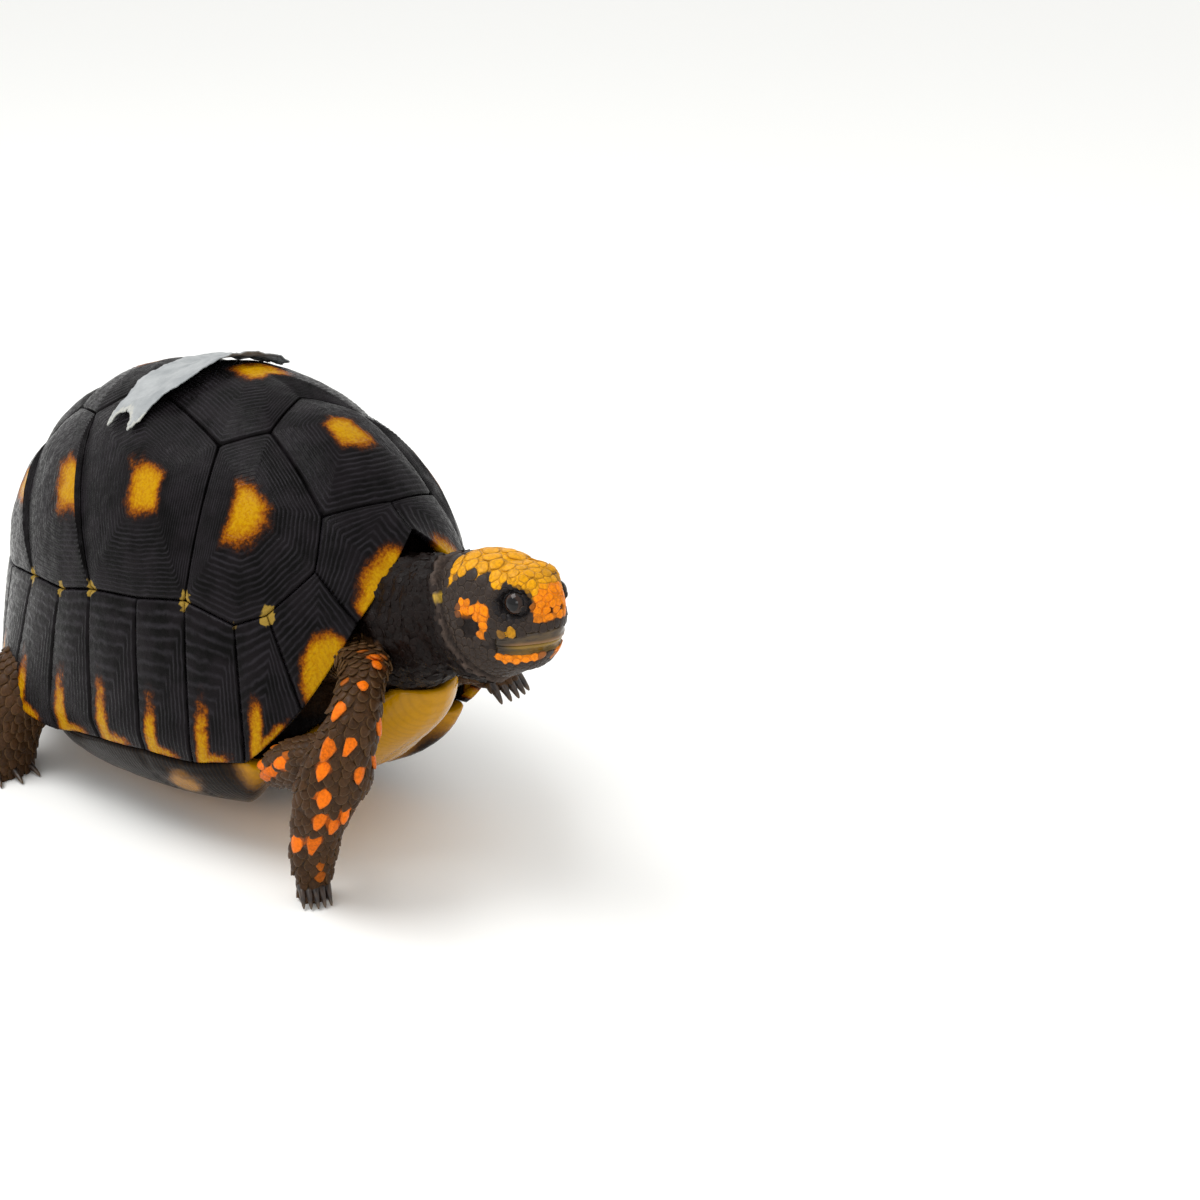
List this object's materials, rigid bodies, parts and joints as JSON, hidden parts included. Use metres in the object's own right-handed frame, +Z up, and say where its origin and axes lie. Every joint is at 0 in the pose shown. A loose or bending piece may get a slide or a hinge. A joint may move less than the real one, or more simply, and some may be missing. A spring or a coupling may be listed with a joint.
{
  "type": "tortoise figure",
  "caption": "Life-size young red-footed tortoise, walking with its head up: domed plated shell, scaly legs, horny beak, and a strip of grey tape on its back.",
  "frame": {"origin": "on the floor under the middle of the whole animal's bounding box", "axes": "+X forward along the animal, +Y to its left, +Z up"},
  "size_m": [0.2246, 0.1228, 0.1216],
  "materials": {
    "shell_horn": "semi-gloss dark horn with growth ridges and yellow old centres",
    "plastron_horn": "semi-gloss yellow horn with dark middles",
    "skin": "matt wrinkled dark skin",
    "leg_scales": "dark overlapping scales with raised orange ones",
    "head_scales": "smooth orange and dark scales",
    "beak_horn": "olive horn, satin",
    "eye": "wet and glossy",
    "cloth_tape": "grey cloth tape, slightly glossy"
  },
  "bodies": {
    "root": {"costal_left_1": "shell_horn", "costal_left_2": "shell_horn", "costal_left_3": "shell_horn", "costal_left_4": "shell_horn", "costal_right_1": "shell_horn", "costal_right_2": "shell_horn", "costal_right_3": "shell_horn", "costal_right_4": "shell_horn", "eye_left": "eye", "eye_right": "eye", "foreleg_left": "leg_scales", "foreleg_right": "leg_scales", "head": "head_scales", "hindleg_left": "leg_scales", "hindleg_right": "leg_scales", "lower_beak": "beak_horn", "marginal_left_1": "shell_horn", "marginal_left_10": "shell_horn", "marginal_left_11": "shell_horn", "marginal_left_2": "shell_horn", "marginal_left_3": "shell_horn", "marginal_left_4": "shell_horn", "marginal_left_5": "shell_horn", "marginal_left_6": "shell_horn", "marginal_left_7": "shell_horn", "marginal_left_8": "shell_horn", "marginal_left_9": "shell_horn", "marginal_right_1": "shell_horn", "marginal_right_10": "shell_horn", "marginal_right_11": "shell_horn", "marginal_right_2": "shell_horn", "marginal_right_3": "shell_horn", "marginal_right_4": "shell_horn", "marginal_right_5": "shell_horn", "marginal_right_6": "shell_horn", "marginal_right_7": "shell_horn", "marginal_right_8": "shell_horn", "marginal_right_9": "shell_horn", "neck": "skin", "plastron": "plastron_horn", "supracaudal": "shell_horn", "tail": "leg_scales", "tape_patch": "cloth_tape", "trunk": "skin", "upper_beak": "beak_horn", "vertebral_1": "shell_horn", "vertebral_2": "shell_horn", "vertebral_3": "shell_horn", "vertebral_4": "shell_horn", "vertebral_5": "shell_horn"}
  },
  "joints": []
}
